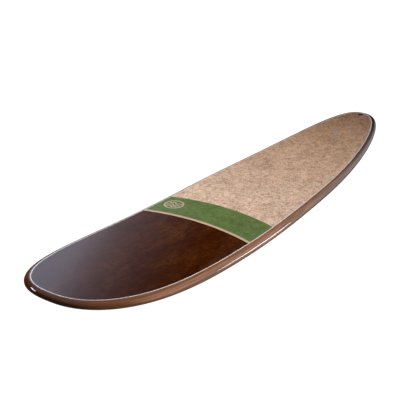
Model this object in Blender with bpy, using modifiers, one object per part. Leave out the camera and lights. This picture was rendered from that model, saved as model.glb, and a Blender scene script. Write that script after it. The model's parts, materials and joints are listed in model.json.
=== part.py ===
"""Stand up paddleboard, 3.2 m x 0.76 m, built as a wood and fibre sandwich on a foam core.

Frame: metres, +X towards the nose, +Y towards the left rail, +Z up.
The origin is at mid-length on the centreline, on the flat of the hull bottom.
"""
import math

import bmesh
import bpy
from mathutils import Vector

# ---------------------------------------------------------------- driving dimensions
LENGTH = 3.200              # nose to tail
WIDTH = 0.760               # at the widest point
WIDE_X = 0.500              # the widest point, ahead of mid-length
NOSE_OUTLINE = (3.61, 0.419)    # powers of the outline's curve ahead of the widest point
TAIL_OUTLINE = (1.905, 0.405)   # and behind it

FLAT_FRONT = 0.030          # the hull bottom is flat between these two places
FLAT_BACK = -0.370
NOSE_ROCKER = (0.1555, 2.175)   # rise of the bottom at the tip, and the power of its curve
TAIL_ROCKER = (0.1119, 2.199)

THICKNESS = 0.0776          # on the centreline at mid-length
NOSE_THINNING = 0.400       # share of the thickness lost at the nose tip
TAIL_THINNING = 0.532
THINNING_POWER = 2.5
DECK_CROWN = 0.0122         # fall of the deck from the centreline to the widest rail
APEX_HEIGHT = 0.513         # height of the rail's outermost line, as a share of the thickness
RAIL_TOP_REACH = 0.032      # how far in from the outline the rail's round meets the deck
RAIL_BOTTOM_REACH = 0.0516  # and the bottom

GAP = 0.0003                # clearance between neighbouring pieces
PANEL_THICK = 0.0015        # wood and fibre panels of the deck
SKIN_THICK = 0.002          # inner deck skin and bottom skin
RAIL_THICK = 0.0025
CORE_TOP_DROP = 0.0043      # deck surface down to the foam
CORE_BOTTOM_RISE = 0.0032   # bottom surface up to the foam
CORE_SIDE_INSET = 0.0045    # outline in to the foam
STRINGER_GAP = 0.0005       # glue line between the stringer and each foam half
STRINGER_THICK = 0.005

PINLINE_INSET = 0.0295      # outer edge of the pinline, in from the outline
PINLINE_WIDTH = 0.005
INNER_SKIN_INSET = 0.0305   # outline in to the inner deck skin

NOSE_PANEL_END = 0.4831     # where the panel joints meet the pinline
STRIPE_WIDTH = 0.020
GREEN_BAND_END = 0.2312
BAND_BULGE = 0.041          # how far a panel joint curves back on the centreline
BULGE_CENTRE = 0.360
BULGE_REACH = 1.300

LEASH_X = -1.546
LEASH_RIM_RADIUS = 0.018
LEASH_BODY_RADIUS = 0.0155
LEASH_BOWL_RADIUS = 0.013
LEASH_DEPTH = 0.0185
LEASH_BOWL_DEPTH = 0.015
LEASH_PIN_RADIUS = 0.0024
LEASH_PIN_DEPTH = 0.0058
LEASH_PIN_LENGTH = 0.0278
LEASH_BLOCK_RADIUS = 0.026
LEASH_BLOCK_DEPTH = 0.0225
LEASH_BOWL_ROUND = 0.004    # radius between the bowl's wall and its floor
LEASH_LIP = 0.0008          # bevel at the bowl's mouth
RIM_THICK = 0.004           # flange of the leash cup and of the vent housing
RIM_POCKET_DEPTH = 0.006    # the flange's hole goes through the panel and the inner skin
EDGE_BREAK = 0.0006         # small bevel on moulded and turned edges

VENT_X = -1.222
VENT_Y = -0.027             # right of the centreline, clear of the stringer
VENT_SINK = 0.0012          # the rim lies this far into the flat facet of the deck
VENT_RIM_RADIUS = 0.018
VENT_BODY_RADIUS = 0.0145
VENT_DEPTH = 0.014
VENT_SEAT_RADIUS = 0.0115
VENT_SEAT_DEPTH = 0.005
VENT_BORE_RADIUS = 0.0063
VENT_BORE_DEPTH = 0.0115
VENT_HOLE_RADIUS = 0.0016
VENT_HEAD_RADIUS = 0.011
VENT_HEAD_TOP = -0.0004
VENT_HEAD_BOTTOM = -0.0028
VENT_SHANK_RADIUS = 0.0059
VENT_SHANK_END = -0.0108
VENT_SLOT_WIDTH = 0.0022
VENT_SLOT_DEPTH = 0.0012
SEAL_RING_RADIUS = 0.0080
SEAL_WIRE_RADIUS = 0.0008
VENT_BLOCK_RADIUS = 0.022
VENT_BLOCK_DEPTH = 0.018

FIN_BOX_X = -1.260          # middle of the fin box
FIN_BOX_LENGTH = 0.270
FIN_BOX_WIDTH = 0.026
FIN_BOX_DEPTH = 0.025
FIN_BOX_CORNER = 0.008
FIN_SLOT_LENGTH = 0.250
FIN_SLOT_WIDTH = 0.0096
FIN_SLOT_DEPTH = 0.020
GROOVE_WIDTH = 0.016
GROOVE_LOW = 0.007
GROOVE_HIGH = 0.0119
ENTRY_LENGTH = 0.017        # wide mouth at the front of the slot, where the plate drops in
ENTRY_WIDTH = 0.0156
ENTRY_HIGH = 0.0114
ENTRY_SETBACK = 0.0003      # from the slot's front end
FIN_BLOCK_MARGIN = 0.015    # foam block around the box, each side
FIN_BLOCK_LOW = 0.0024
FIN_BLOCK_DEPTH = 0.029
FIN_BLOCK_CORNER = 0.012
FIN_FACET_REACH = 0.172     # half the stretch of hull bottom that is kept straight for the box

FIN_HEIGHT = 0.205
FIN_ROOT_CHORD = 0.145
FIN_ROOT_FRONT = 0.055
FIN_SWEEP = 0.150
FIN_SWEEP_POWER = 1.7
FIN_TIP_CHORD = 0.022
FIN_TAPER = (0.9, 0.75)     # powers of the curve that narrows the chord
FIN_THICKNESS = 0.0084
FIN_TIP_THINNESS = 0.25     # the tip's thickness, as a share of the root's
FOIL_SWELL = 1.9            # fullness of a section, then its taper to the back and its edge thickness
FOIL_TAPER = 0.85
FOIL_EDGE = 0.06
FIN_ROOT_IN_TAB = 0.003     # how far the blade runs up into the tab
FIN_SECTIONS = 9
FIN_SECTION_BUNCHING = 1.3  # above 1, sections stand closer together near the tip
FIN_SECTION_POINTS = 9
TAB_HALF_LENGTH = 0.0925
TAB_WIDTH = 0.009
TAB_TOP = 0.015
TONGUE_START = 0.058
TONGUE_OVERLAP = 0.004
TONGUE_WIDTH = 0.0086
TONGUE_LOW = 0.0027
TONGUE_HIGH = 0.0067
CROSS_PIN_X = -0.078
CROSS_PIN_RADIUS = 0.002
CROSS_PIN_LENGTH = 0.0152
CROSS_PIN_HEIGHT = 0.0093
FIN_SCREW_X = 0.081
FIN_SCREW_HEAD_RADIUS = 0.004
FIN_SCREW_HEAD = (0.0002, 0.0023)
FIN_SCREW_SHANK_RADIUS = 0.002
FIN_SCREW_TIP = 0.0125
FIN_SCREW_EDGE = 0.0004
FIN_SCREW_SLOT_DEPTH = 0.0011
FIN_SCREW_HOLE_RADIUS = 0.00235
FIN_PLATE_LENGTH = 0.014
FIN_PLATE_WIDTH = 0.0152
FIN_PLATE_LOW = 0.0073
FIN_PLATE_THICK = 0.003
FIN_SCREW_SLOT_WIDTH = 0.0012

# ---------------------------------------------------------------- mesh fineness
STATION_STEPS = 24          # outline stations from nose to tail
JOINT_CLEARANCE = 0.045     # no other station this close to a panel joint
TIP_HALF_WIDTH = 0.015      # first station beside each tip
DECK_COLUMNS = (0.0, 1 / 3, 2 / 3, 1.0)
BOTTOM_COLUMNS = (0.0, 1.0)
RAIL_ANGLES = (85, 81, 67, 50, 33, 16, 0, -16, -33, -50, -67, -82, -90)
CORE_ANGLES = (90, 60, 30, 0, -30, -60, -90)
TURN_STEPS = 28
PIN_STEPS = 16
FIN_SCREW_STEPS = 20

HALF = LENGTH / 2
STRIPE_BACK = NOSE_PANEL_END - STRIPE_WIDTH
MERGE = 0.00005
CUT_REACH = 0.010           # how far a cutter runs past the surface that it opens
POCKET_REACH = 0.050        # and out over the domed deck

# colour, roughness and metallic value of each material
MATERIALS = {
    "brown_wood": ((0.16, 0.055, 0.025), 0.22, 0.0),
    "rail_wood": ((0.26, 0.11, 0.045), 0.25, 0.0),
    "cream": ((0.86, 0.80, 0.66), 0.25, 0.0),
    "green_fibre": ((0.24, 0.36, 0.10), 0.30, 0.0),
    "coco_fibre": ((0.44, 0.29, 0.15), 0.40, 0.0),
    "white_paint": ((0.88, 0.88, 0.86), 0.25, 0.0),
    "hull_wood": ((0.20, 0.085, 0.035), 0.25, 0.0),
    "skin": ((0.72, 0.66, 0.50), 0.50, 0.0),
    "foam": ((0.92, 0.92, 0.90), 0.85, 0.0),
    "dense_foam": ((0.80, 0.74, 0.52), 0.80, 0.0),
    "plywood": ((0.70, 0.54, 0.34), 0.60, 0.0),
    "black_plastic": ((0.02, 0.02, 0.022), 0.35, 0.0),
    "black_rubber": ((0.015, 0.015, 0.015), 0.70, 0.0),
    "steel": ((0.62, 0.64, 0.68), 0.25, 1.0),
    "brass": ((0.75, 0.58, 0.27), 0.30, 1.0),
}


# ---------------------------------------------------------------- scene helpers
def clear_scene():
    for obj in list(bpy.data.objects):
        bpy.data.objects.remove(obj)


def new_collection(name):
    collection = bpy.data.collections.new(name)
    bpy.context.scene.collection.children.link(collection)
    return collection


def make_material(name):
    colour, roughness, metallic = MATERIALS[name]
    material = bpy.data.materials.new(name)
    material.use_nodes = True
    shader = material.node_tree.nodes["Principled BSDF"]
    shader.inputs["Base Color"].default_value = (*colour, 1.0)
    shader.inputs["Roughness"].default_value = roughness
    shader.inputs["Metallic"].default_value = metallic
    material.diffuse_color = (*colour, 1.0)
    return material


def place(obj, collection, parent=None, location=(0, 0, 0)):
    collection.objects.link(obj)
    obj.location = location
    obj.parent = parent
    return obj


def mesh_object(name, verts, faces, parent=None, location=(0, 0, 0), collection=None):
    """A mesh object; a part of the board unless another collection is named."""
    mesh = bpy.data.meshes.new(name)
    mesh.from_pydata([tuple(v) for v in verts], [], faces)
    mesh.update()
    return place(bpy.data.objects.new(name, mesh), collection or BOARD, parent, location)


def bmesh_object(name, shape, parent=None, location=(0, 0, 0), collection=None):
    mesh = bpy.data.meshes.new(name)
    shape.to_mesh(mesh)
    shape.free()
    return place(bpy.data.objects.new(name, mesh), collection or BOARD, parent, location)


def finish(obj, material, sharp_angle=35.0):
    """Gives a part its material and smooth shading with sharp edges kept."""
    obj.data.materials.append(make_material(material))
    obj.data.shade_smooth()
    obj.data.set_sharp_from_angle(angle=math.radians(sharp_angle))
    return obj


def mirror_across_centreline(obj):
    mirror = obj.modifiers.new("both_sides", "MIRROR")
    mirror.use_axis = (False, True, False)
    mirror.use_clip = True
    mirror.merge_threshold = MERGE


def thicken(obj, thickness, offset=-1.0):
    solid = obj.modifiers.new("thickness", "SOLIDIFY")
    solid.thickness = thickness
    solid.offset = offset


def boolean(obj, other, operation="DIFFERENCE"):
    cut = obj.modifiers.new(operation.lower() + "_" + other.name, "BOOLEAN")
    cut.operation = operation
    cut.solver = "EXACT"
    cut.object = other


def make_cutter(obj):
    obj.hide_render = True
    obj.display_type = "WIRE"
    return obj


# ---------------------------------------------------------------- board surfaces
def half_width(x):
    """Half the outline's width at x."""
    if x >= WIDE_X:
        share = (x - WIDE_X) / (HALF - WIDE_X)
        power, root = NOSE_OUTLINE
    else:
        share = (WIDE_X - x) / (HALF + WIDE_X)
        power, root = TAIL_OUTLINE
    return WIDTH / 2 * max(0.0, 1 - min(1.0, share) ** power) ** root


def station_at_half_width(y, end):
    """The x beside the nose (end=1) or the tail (end=-1) where the outline is y from the centreline."""
    power, root = NOSE_OUTLINE if end > 0 else TAIL_OUTLINE
    share = (1 - (2 * y / WIDTH) ** (1 / root)) ** (1 / power)
    return WIDE_X + end * share * (HALF - end * WIDE_X)


def rocker(x):
    """Height of the hull bottom."""
    if x > FLAT_FRONT:
        rise, power = NOSE_ROCKER
        return rise * ((x - FLAT_FRONT) / (HALF - FLAT_FRONT)) ** power
    if x < FLAT_BACK:
        rise, power = TAIL_ROCKER
        return rise * ((FLAT_BACK - x) / (HALF + FLAT_BACK)) ** power
    return 0.0


def thickness_at(x):
    loss = NOSE_THINNING if x > 0 else TAIL_THINNING
    return THICKNESS * (1 - loss * min(1.0, abs(x) / HALF) ** THINNING_POWER)


def deck_height(x, y):
    thick = thickness_at(x)
    return rocker(x) + thick - DECK_CROWN * thick / THICKNESS * (2 * y / WIDTH) ** 2


def inset_point(x, inset):
    """Plan position at a distance in from the outline, along the outline's normal at station x."""
    y = half_width(x)
    if y < MERGE:
        return x - math.copysign(inset, x), 0.0
    step = min(0.0005, (HALF - abs(x)) / 2)
    run = Vector((2 * step, half_width(x + step) - half_width(x - step))).normalized()
    return x + run.y * inset, y - run.x * inset


def bulge(x):
    """How far back a deck row lies on the centreline, behind its ends."""
    reach = abs(x - BULGE_CENTRE) / BULGE_REACH
    return BAND_BULGE * math.cos(math.pi / 2 * min(1.0, reach)) ** 2


def deck_row(x, inset, drop=0.0):
    """Points from the centreline to the deck's edge, on or below the deck surface."""
    edge_x, edge_y = inset_point(x, inset)
    row = []
    for share in DECK_COLUMNS:
        px = edge_x - bulge(edge_x) * (1 - share ** 2)
        py = edge_y * share
        row.append((px, py, deck_height(px, py) - drop))
    return row


def bottom_row(x, inset, rise=0.0):
    edge_x, edge_y = inset_point(x, inset)
    return [(edge_x, edge_y * share, rocker(edge_x) + rise) for share in BOTTOM_COLUMNS]


def rail_section(x, angles, inset=0.0, drop=0.0, rise=0.0):
    """Points around the rail's round, from the deck to the bottom."""
    row = []
    for angle in angles:
        turn = math.radians(angle)
        reach = RAIL_TOP_REACH if angle >= 0 else RAIL_BOTTOM_REACH
        px, py = inset_point(x, inset + reach * (1 - math.cos(turn)))
        low = rocker(px)
        high = deck_height(px, py)
        apex = low + APEX_HEIGHT * (high - low)
        span = high - drop - apex if angle >= 0 else apex - low - rise
        row.append((px, py, apex + span * math.sin(turn)))
    return row


def outline_stations():
    """x of every outline station from nose to tail, with the panel joints and flat ends among them."""
    box_front = FIN_BOX_X + FIN_FACET_REACH
    box_back = FIN_BOX_X - FIN_FACET_REACH
    fixed = [HALF, station_at_half_width(TIP_HALF_WIDTH, 1), NOSE_PANEL_END, STRIPE_BACK, GREEN_BAND_END,
             FLAT_FRONT, FLAT_BACK, box_front, box_back,
             station_at_half_width(TIP_HALF_WIDTH, -1), -HALF]
    even = [HALF * math.cos(math.pi * i / STATION_STEPS) for i in range(1, STATION_STEPS)]

    def clear_of_fixed(x):
        beside_a_joint = any(abs(x - f) < JOINT_CLEARANCE for f in fixed[2:-2])
        return not beside_a_joint and not box_back < x < box_front

    return sorted(fixed + [x for x in even if clear_of_fixed(x)], reverse=True)


# ---------------------------------------------------------------- lofts
def loft(rows, ring=False, capped=False, flip=False):
    """Vertices and faces over rows of points; a row of one point closes the surface to a tip."""
    verts, starts = [], []
    for row in rows:
        starts.append(len(verts))
        verts.extend(row)
    faces = []
    for (a, row_a), (b, row_b) in zip(zip(starts, rows), zip(starts[1:], rows[1:])):
        count = max(len(row_a), len(row_b))
        for i in range(count if ring else count - 1):
            j = (i + 1) % count
            if len(row_a) == 1:
                faces.append((a, b + j, b + i))
            elif len(row_b) == 1:
                faces.append((a + i, a + j, b))
            else:
                faces.append((a + i, a + j, b + j, b + i))
    if capped:
        faces.append(tuple(range(starts[0], starts[0] + len(rows[0])))[::-1])
        faces.append(tuple(range(starts[-1], starts[-1] + len(rows[-1]))))
    if flip:
        faces = [face[::-1] for face in faces]
    return verts, faces


def other_side(rows):
    return [[(x, -y, z) for x, y, z in row] for row in rows]


# ---------------------------------------------------------------- round and boxy shapes
def turned(name, profile, parent, location=(0, 0, 0), closed=False, steps=TURN_STEPS, collection=None):
    """A profile of (radius, height) turned about the local Z axis."""
    verts = [(r, 0.0, z) for r, z in profile]
    mesh = bpy.data.meshes.new(name)
    edges = [(i, i + 1) for i in range(len(verts) - 1)]
    if closed:
        edges.append((len(verts) - 1, 0))
    mesh.from_pydata(verts, edges, [])
    obj = place(bpy.data.objects.new(name, mesh), collection or BOARD, parent, location)
    screw = obj.modifiers.new("turn", "SCREW")
    screw.steps = steps
    screw.render_steps = steps
    screw.use_merge_vertices = True
    screw.merge_threshold = MERGE
    return obj


def cylinder(name, radius, low, high, parent, location=(0, 0, 0), axis="Z", steps=TURN_STEPS,
             collection=None):
    """A cylinder between two places on its own axis."""
    shape = bmesh.new()
    bmesh.ops.create_cone(shape, cap_ends=True, segments=steps, radius1=radius, radius2=radius,
                          depth=high - low)
    bmesh.ops.translate(shape, verts=shape.verts, vec=(0, 0, (high + low) / 2))
    if axis == "Y":
        for vert in shape.verts:
            vert.co = Vector((vert.co.x, vert.co.z, -vert.co.y))
    return bmesh_object(name, shape, parent, location, collection)


def box(name, size, centre, parent, location=(0, 0, 0), corner=0.0, collection=None):
    """A box; corner rounds its four upright edges."""
    shape = bmesh.new()
    bmesh.ops.create_cube(shape, size=1.0)
    for vert in shape.verts:
        vert.co = Vector(v * s + c for v, s, c in zip(vert.co, size, centre))
    if corner:
        upright = [e for e in shape.edges if abs(e.verts[0].co.z - e.verts[1].co.z) > size[2] / 2]
        bmesh.ops.bevel(shape, geom=upright, offset=corner, segments=4, profile=0.5, affect="EDGES")
    return bmesh_object(name, shape, parent, location, collection)


# ---------------------------------------------------------------- local frames
def frame_on_line(name, x, centres, y=0.0, sink=0.0):
    """An empty at x on a line of surface points that runs from nose to tail, tilted with its facet.

    It may stand to one side, at y, and some way below the surface.
    """
    front, back = next(pair for pair in zip(centres, centres[1:]) if pair[1][0] <= x <= pair[0][0])
    slope = (front[2] - back[2]) / (front[0] - back[0])
    empty = bpy.data.objects.new(name, None)
    empty.empty_display_size = 0.03
    place(empty, BOARD, None, (x, y, back[2] + slope * (x - back[0]) - sink))
    empty.rotation_euler = (0.0, -math.atan(slope), 0.0)
    return empty


def frame_on_deck(name, x, y=0.0, sink=0.0):
    centres = [deck_row(s, PINLINE_INSET + PINLINE_WIDTH + GAP)[0] for s in STATIONS]
    return frame_on_line(name, x, centres, y, sink)


def frame_on_bottom(name, x):
    centres = [bottom_row(s, RAIL_BOTTOM_REACH + GAP)[0] for s in STATIONS]
    return frame_on_line(name, x, centres)


# ---------------------------------------------------------------- deck
def deck_surface(name, stations, inset, drop, thickness, material):
    rows = [deck_row(x, inset, drop) for x in stations]
    if stations[0] == HALF:
        rows[0] = rows[0][:1]
    if stations[-1] == -HALF:
        rows[-1] = rows[-1][:1]
    obj = mesh_object(name, *loft(rows))
    mirror_across_centreline(obj)
    thicken(obj, thickness)
    return finish(obj, material)


def panel_stations(front, back):
    """Rows of one deck panel, held half a gap back from its neighbours."""
    first = front if front == HALF else front - GAP / 2
    last = back if back == -HALF else back + GAP / 2
    return [first] + [x for x in STATIONS if back < x < front] + [last]


def make_deck_panels():
    inset = PINLINE_INSET + PINLINE_WIDTH + GAP
    layout = (
        ("nose_panel", HALF, NOSE_PANEL_END, "brown_wood"),
        ("cream_stripe", NOSE_PANEL_END, STRIPE_BACK, "cream"),
        ("green_band", STRIPE_BACK, GREEN_BAND_END, "green_fibre"),
        ("fibre_deck_panel", GREEN_BAND_END, -HALF, "coco_fibre"),
    )
    for name, front, back, material in layout:
        panel = deck_surface(name, panel_stations(front, back), inset, 0.0, PANEL_THICK, material)
        if name == "fibre_deck_panel":
            boolean(panel, CUTTERS["leash_rim"])
            boolean(panel, CUTTERS["vent_rim"])


def make_deck_inner_skin():
    skin = deck_surface("deck_inner_skin", STATIONS, INNER_SKIN_INSET, PANEL_THICK + GAP,
                        SKIN_THICK, "skin")
    boolean(skin, CUTTERS["leash_rim"])
    boolean(skin, CUTTERS["vent_rim"])


def make_pinline():
    rows = []
    for x in STATIONS:
        ends = [inset_point(x, PINLINE_INSET + PINLINE_WIDTH), inset_point(x, PINLINE_INSET)]
        rows.append([(px, py, deck_height(px, py)) for px, py in ends])
    pinline = mesh_object("deck_pinline", *loft(rows))
    mirror_across_centreline(pinline)
    thicken(pinline, PANEL_THICK)
    finish(pinline, "white_paint")


# ---------------------------------------------------------------- rails, bottom and core
def make_rails():
    rows = [rail_section(x, RAIL_ANGLES) for x in STATIONS]
    for end in (0, -1):
        rows[end] = [(x, GAP / 2, z) for x, y, z in rows[end]]
    left = mesh_object("rail_band_left", *loft(rows))
    right = mesh_object("rail_band_right", *loft(other_side(rows), flip=True))
    for rail in (left, right):
        thicken(rail, RAIL_THICK)
        finish(rail, "rail_wood")


def make_bottom_skin():
    rows = [bottom_row(x, RAIL_BOTTOM_REACH + GAP) for x in STATIONS]
    rows[0] = rows[0][:1]
    rows[-1] = rows[-1][:1]
    skin = mesh_object("bottom_skin", *loft(rows, flip=True))
    mirror_across_centreline(skin)
    thicken(skin, SKIN_THICK)
    boolean(skin, CUTTERS["fin_box"])
    finish(skin, "hull_wood")


def core_rows():
    """Closed sections of the left foam half, without the two tip stations."""
    side = STRINGER_THICK / 2 + STRINGER_GAP
    rows = []
    for x in STATIONS[1:-1]:
        deck = deck_row(x, CORE_SIDE_INSET + RAIL_TOP_REACH, CORE_TOP_DROP)[:-1]
        rail = rail_section(x, CORE_ANGLES, CORE_SIDE_INSET, CORE_TOP_DROP, CORE_BOTTOM_RISE)
        foot = bottom_row(x, CORE_SIDE_INSET + RAIL_BOTTOM_REACH, CORE_BOTTOM_RISE)[0]
        deck[0] = (deck[0][0], side, deck[0][2])
        foot = (foot[0], side, foot[2])
        rows.append(deck + rail + [foot])
    return rows


def make_foam_core():
    rows = core_rows()
    left = mesh_object("foam_core_left", *loft(rows, ring=True, capped=True))
    right = mesh_object("foam_core_right", *loft(other_side(rows), ring=True, capped=True, flip=True))
    for half in (left, right):
        for name in ("leash_block", "vent_block", "fin_block"):
            boolean(half, CUTTERS[name])
        finish(half, "foam")


def make_stringer():
    """The upright wood strip between the foam halves: its side outline, thickened."""
    top = [deck_row(x, CORE_SIDE_INSET + RAIL_TOP_REACH, CORE_TOP_DROP)[0] for x in STATIONS]
    foot = [bottom_row(x, CORE_SIDE_INSET + RAIL_BOTTOM_REACH, CORE_BOTTOM_RISE)[0] for x in STATIONS]
    tips = [rail_section(x, CORE_ANGLES, CORE_SIDE_INSET, CORE_TOP_DROP, CORE_BOTTOM_RISE)[1:-1]
            for x in (HALF, -HALF)]
    outline = tips[0][::-1] + top + tips[1] + foot[::-1]
    outline = [(x, 0.0, z) for x, y, z in outline]
    stringer = mesh_object("stringer", outline, [tuple(range(len(outline)))])
    thicken(stringer, STRINGER_THICK, offset=0.0)
    for name in ("leash_block", "vent_block", "fin_block"):
        boolean(stringer, CUTTERS[name])
    finish(stringer, "plywood")


# ---------------------------------------------------------------- leash plug
def make_leash_plug(frame):
    floor = -LEASH_BOWL_DEPTH
    corner = []
    for angle in (90, 45, 0):
        turn = math.radians(angle)
        corner.append((LEASH_BOWL_RADIUS - LEASH_BOWL_ROUND * (1 - math.cos(turn)),
                       floor + LEASH_BOWL_ROUND * (1 - math.sin(turn))))
    profile = [(0.0, floor)] + corner + [
        (LEASH_BOWL_RADIUS, -LEASH_LIP), (LEASH_BOWL_RADIUS + LEASH_LIP, 0.0),
        (LEASH_RIM_RADIUS - EDGE_BREAK, 0.0), (LEASH_RIM_RADIUS, -EDGE_BREAK),
        (LEASH_RIM_RADIUS, -RIM_THICK), (LEASH_BODY_RADIUS, -RIM_THICK),
        (LEASH_BODY_RADIUS, -LEASH_DEPTH), (0.0, -LEASH_DEPTH)]
    cup = turned("leash_plug_cup", profile, frame)
    boolean(cup, CUTTERS["leash_pin"])
    finish(cup, "black_plastic")

    half = LEASH_PIN_LENGTH / 2
    at_pin = (0, 0, -LEASH_PIN_DEPTH)
    pin = cylinder("leash_plug_pin", LEASH_PIN_RADIUS, -half, half, frame, at_pin, "Y", PIN_STEPS)
    finish(pin, "steel")

    pocket = LEASH_BODY_RADIUS + GAP
    profile = [(0.0, -LEASH_DEPTH - GAP), (pocket, -LEASH_DEPTH - GAP), (pocket, -CORE_TOP_DROP),
               (LEASH_BLOCK_RADIUS, -CORE_TOP_DROP), (LEASH_BLOCK_RADIUS, -LEASH_BLOCK_DEPTH),
               (0.0, -LEASH_BLOCK_DEPTH)]
    finish(turned("leash_plug_block", profile, frame), "dense_foam")


# ---------------------------------------------------------------- vent plug
def make_vent(frame):
    housing = [(VENT_HOLE_RADIUS, -VENT_DEPTH), (VENT_HOLE_RADIUS, -VENT_BORE_DEPTH),
               (VENT_BORE_RADIUS, -VENT_BORE_DEPTH), (VENT_BORE_RADIUS, -VENT_SEAT_DEPTH),
               (VENT_SEAT_RADIUS, -VENT_SEAT_DEPTH), (VENT_SEAT_RADIUS, -EDGE_BREAK),
               (VENT_SEAT_RADIUS + EDGE_BREAK, 0.0), (VENT_RIM_RADIUS - EDGE_BREAK, 0.0),
               (VENT_RIM_RADIUS, -EDGE_BREAK), (VENT_RIM_RADIUS, -RIM_THICK),
               (VENT_BODY_RADIUS, -RIM_THICK), (VENT_BODY_RADIUS, -VENT_DEPTH)]
    finish(turned("vent_housing", housing, frame, closed=True), "steel")

    screw = [(0.0, VENT_HEAD_TOP), (VENT_HEAD_RADIUS - EDGE_BREAK, VENT_HEAD_TOP),
             (VENT_HEAD_RADIUS, VENT_HEAD_TOP - EDGE_BREAK), (VENT_HEAD_RADIUS, VENT_HEAD_BOTTOM),
             (VENT_SHANK_RADIUS, VENT_HEAD_BOTTOM), (VENT_SHANK_RADIUS, VENT_SHANK_END + EDGE_BREAK),
             (VENT_SHANK_RADIUS - EDGE_BREAK, VENT_SHANK_END), (0.0, VENT_SHANK_END)]
    plug = turned("vent_screw", screw, frame)
    boolean(plug, CUTTERS["vent_screw_slot"])
    finish(plug, "steel")

    seal_height = (VENT_HEAD_BOTTOM - VENT_SEAT_DEPTH) / 2
    ring = []
    for angle in range(0, 360, 45):
        turn = math.radians(angle)
        ring.append((SEAL_RING_RADIUS + SEAL_WIRE_RADIUS * math.sin(turn),
                     seal_height + SEAL_WIRE_RADIUS * math.cos(turn)))
    finish(turned("vent_seal", ring, frame, closed=True), "black_rubber")

    pocket = VENT_BODY_RADIUS + GAP
    block = [(VENT_HOLE_RADIUS, -VENT_BLOCK_DEPTH), (VENT_HOLE_RADIUS, -VENT_DEPTH - GAP),
             (pocket, -VENT_DEPTH - GAP), (pocket, -CORE_TOP_DROP), (VENT_BLOCK_RADIUS, -CORE_TOP_DROP),
             (VENT_BLOCK_RADIUS, -VENT_BLOCK_DEPTH)]
    finish(turned("vent_block", block, frame, closed=True), "dense_foam")


# ---------------------------------------------------------------- fin box and fin
def make_fin_box(frame):
    body = box("fin_box", (FIN_BOX_LENGTH, FIN_BOX_WIDTH, FIN_BOX_DEPTH), (0, 0, FIN_BOX_DEPTH / 2),
               frame, corner=FIN_BOX_CORNER)
    for name in ("fin_slot", "fin_groove", "fin_entry"):
        boolean(body, CUTTERS[name])
    finish(body, "black_plastic")

    margin = 2 * FIN_BLOCK_MARGIN
    size = (FIN_BOX_LENGTH + margin, FIN_BOX_WIDTH + margin, FIN_BLOCK_DEPTH - FIN_BLOCK_LOW)
    middle = (0, 0, (FIN_BLOCK_DEPTH + FIN_BLOCK_LOW) / 2)
    block = box("fin_box_block", size, middle, frame, corner=FIN_BLOCK_CORNER)
    boolean(block, CUTTERS["fin_box"])
    finish(block, "dense_foam")


def fin_section(share):
    """One foil section of the blade; share runs from 0 at the root to 1 at the tip."""
    height = -FIN_HEIGHT * share
    front = FIN_ROOT_FRONT - FIN_SWEEP * share ** FIN_SWEEP_POWER
    narrowing, easing = FIN_TAPER
    chord = FIN_TIP_CHORD + (FIN_ROOT_CHORD - FIN_TIP_CHORD) * (1 - share ** narrowing) ** easing
    thick = FIN_THICKNESS * (FIN_TIP_THINNESS + (1 - FIN_TIP_THINNESS) * (1 - share))
    sides = []
    for i in range(FIN_SECTION_POINTS + 1):
        along = 0.5 - 0.5 * math.cos(math.pi * i / FIN_SECTION_POINTS)
        swell = FOIL_SWELL * math.sqrt(along) * (1 - along) ** FOIL_TAPER + FOIL_EDGE
        sides.append((front - chord * along, thick / 2 * min(1.0, swell)))
    left = [(x, y, height) for x, y in sides]
    right = [(x, -y, height) for x, y in sides[::-1]]
    return left + right


def make_fin(frame):
    rows = [[(x, y, FIN_ROOT_IN_TAB) for x, y, z in fin_section(0.0)]]
    for i in range(FIN_SECTIONS):
        rows.append(fin_section(1 - (1 - i / (FIN_SECTIONS - 1)) ** FIN_SECTION_BUNCHING))
    fin = mesh_object("centre_fin", *loft(rows, ring=True, capped=True), frame)
    for name in ("fin_tab", "fin_tongue"):
        boolean(fin, CUTTERS[name], "UNION")
    for name in ("cross_pin_hole", "fin_screw_hole"):
        boolean(fin, CUTTERS[name])
    finish(fin, "black_plastic")

    half = CROSS_PIN_LENGTH / 2
    at_pin = (CROSS_PIN_X, 0, CROSS_PIN_HEIGHT)
    pin = cylinder("fin_cross_pin", CROSS_PIN_RADIUS, -half, half, frame, at_pin, "Y", PIN_STEPS)
    finish(pin, "brass")


def make_fin_fixings(frame):
    at_screw = (FIN_SCREW_X, 0, 0)
    head_low, head_high = FIN_SCREW_HEAD
    screw = [(0.0, FIN_SCREW_TIP), (FIN_SCREW_SHANK_RADIUS - FIN_SCREW_EDGE, FIN_SCREW_TIP),
             (FIN_SCREW_SHANK_RADIUS, FIN_SCREW_TIP - FIN_SCREW_EDGE), (FIN_SCREW_SHANK_RADIUS, head_high),
             (FIN_SCREW_HEAD_RADIUS, head_high), (FIN_SCREW_HEAD_RADIUS, head_low + FIN_SCREW_EDGE),
             (FIN_SCREW_HEAD_RADIUS - FIN_SCREW_EDGE, head_low), (0.0, head_low)]
    screw = turned("fin_screw", screw, frame, at_screw, steps=FIN_SCREW_STEPS)
    boolean(screw, CUTTERS["fin_screw_slot"])
    finish(screw, "steel")

    size = (FIN_PLATE_LENGTH, FIN_PLATE_WIDTH, FIN_PLATE_THICK)
    plate = box("fin_plate", size, (0, 0, FIN_PLATE_LOW + FIN_PLATE_THICK / 2), frame, at_screw)
    boolean(plate, CUTTERS["fin_screw_hole"])
    finish(plate, "steel")


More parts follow.
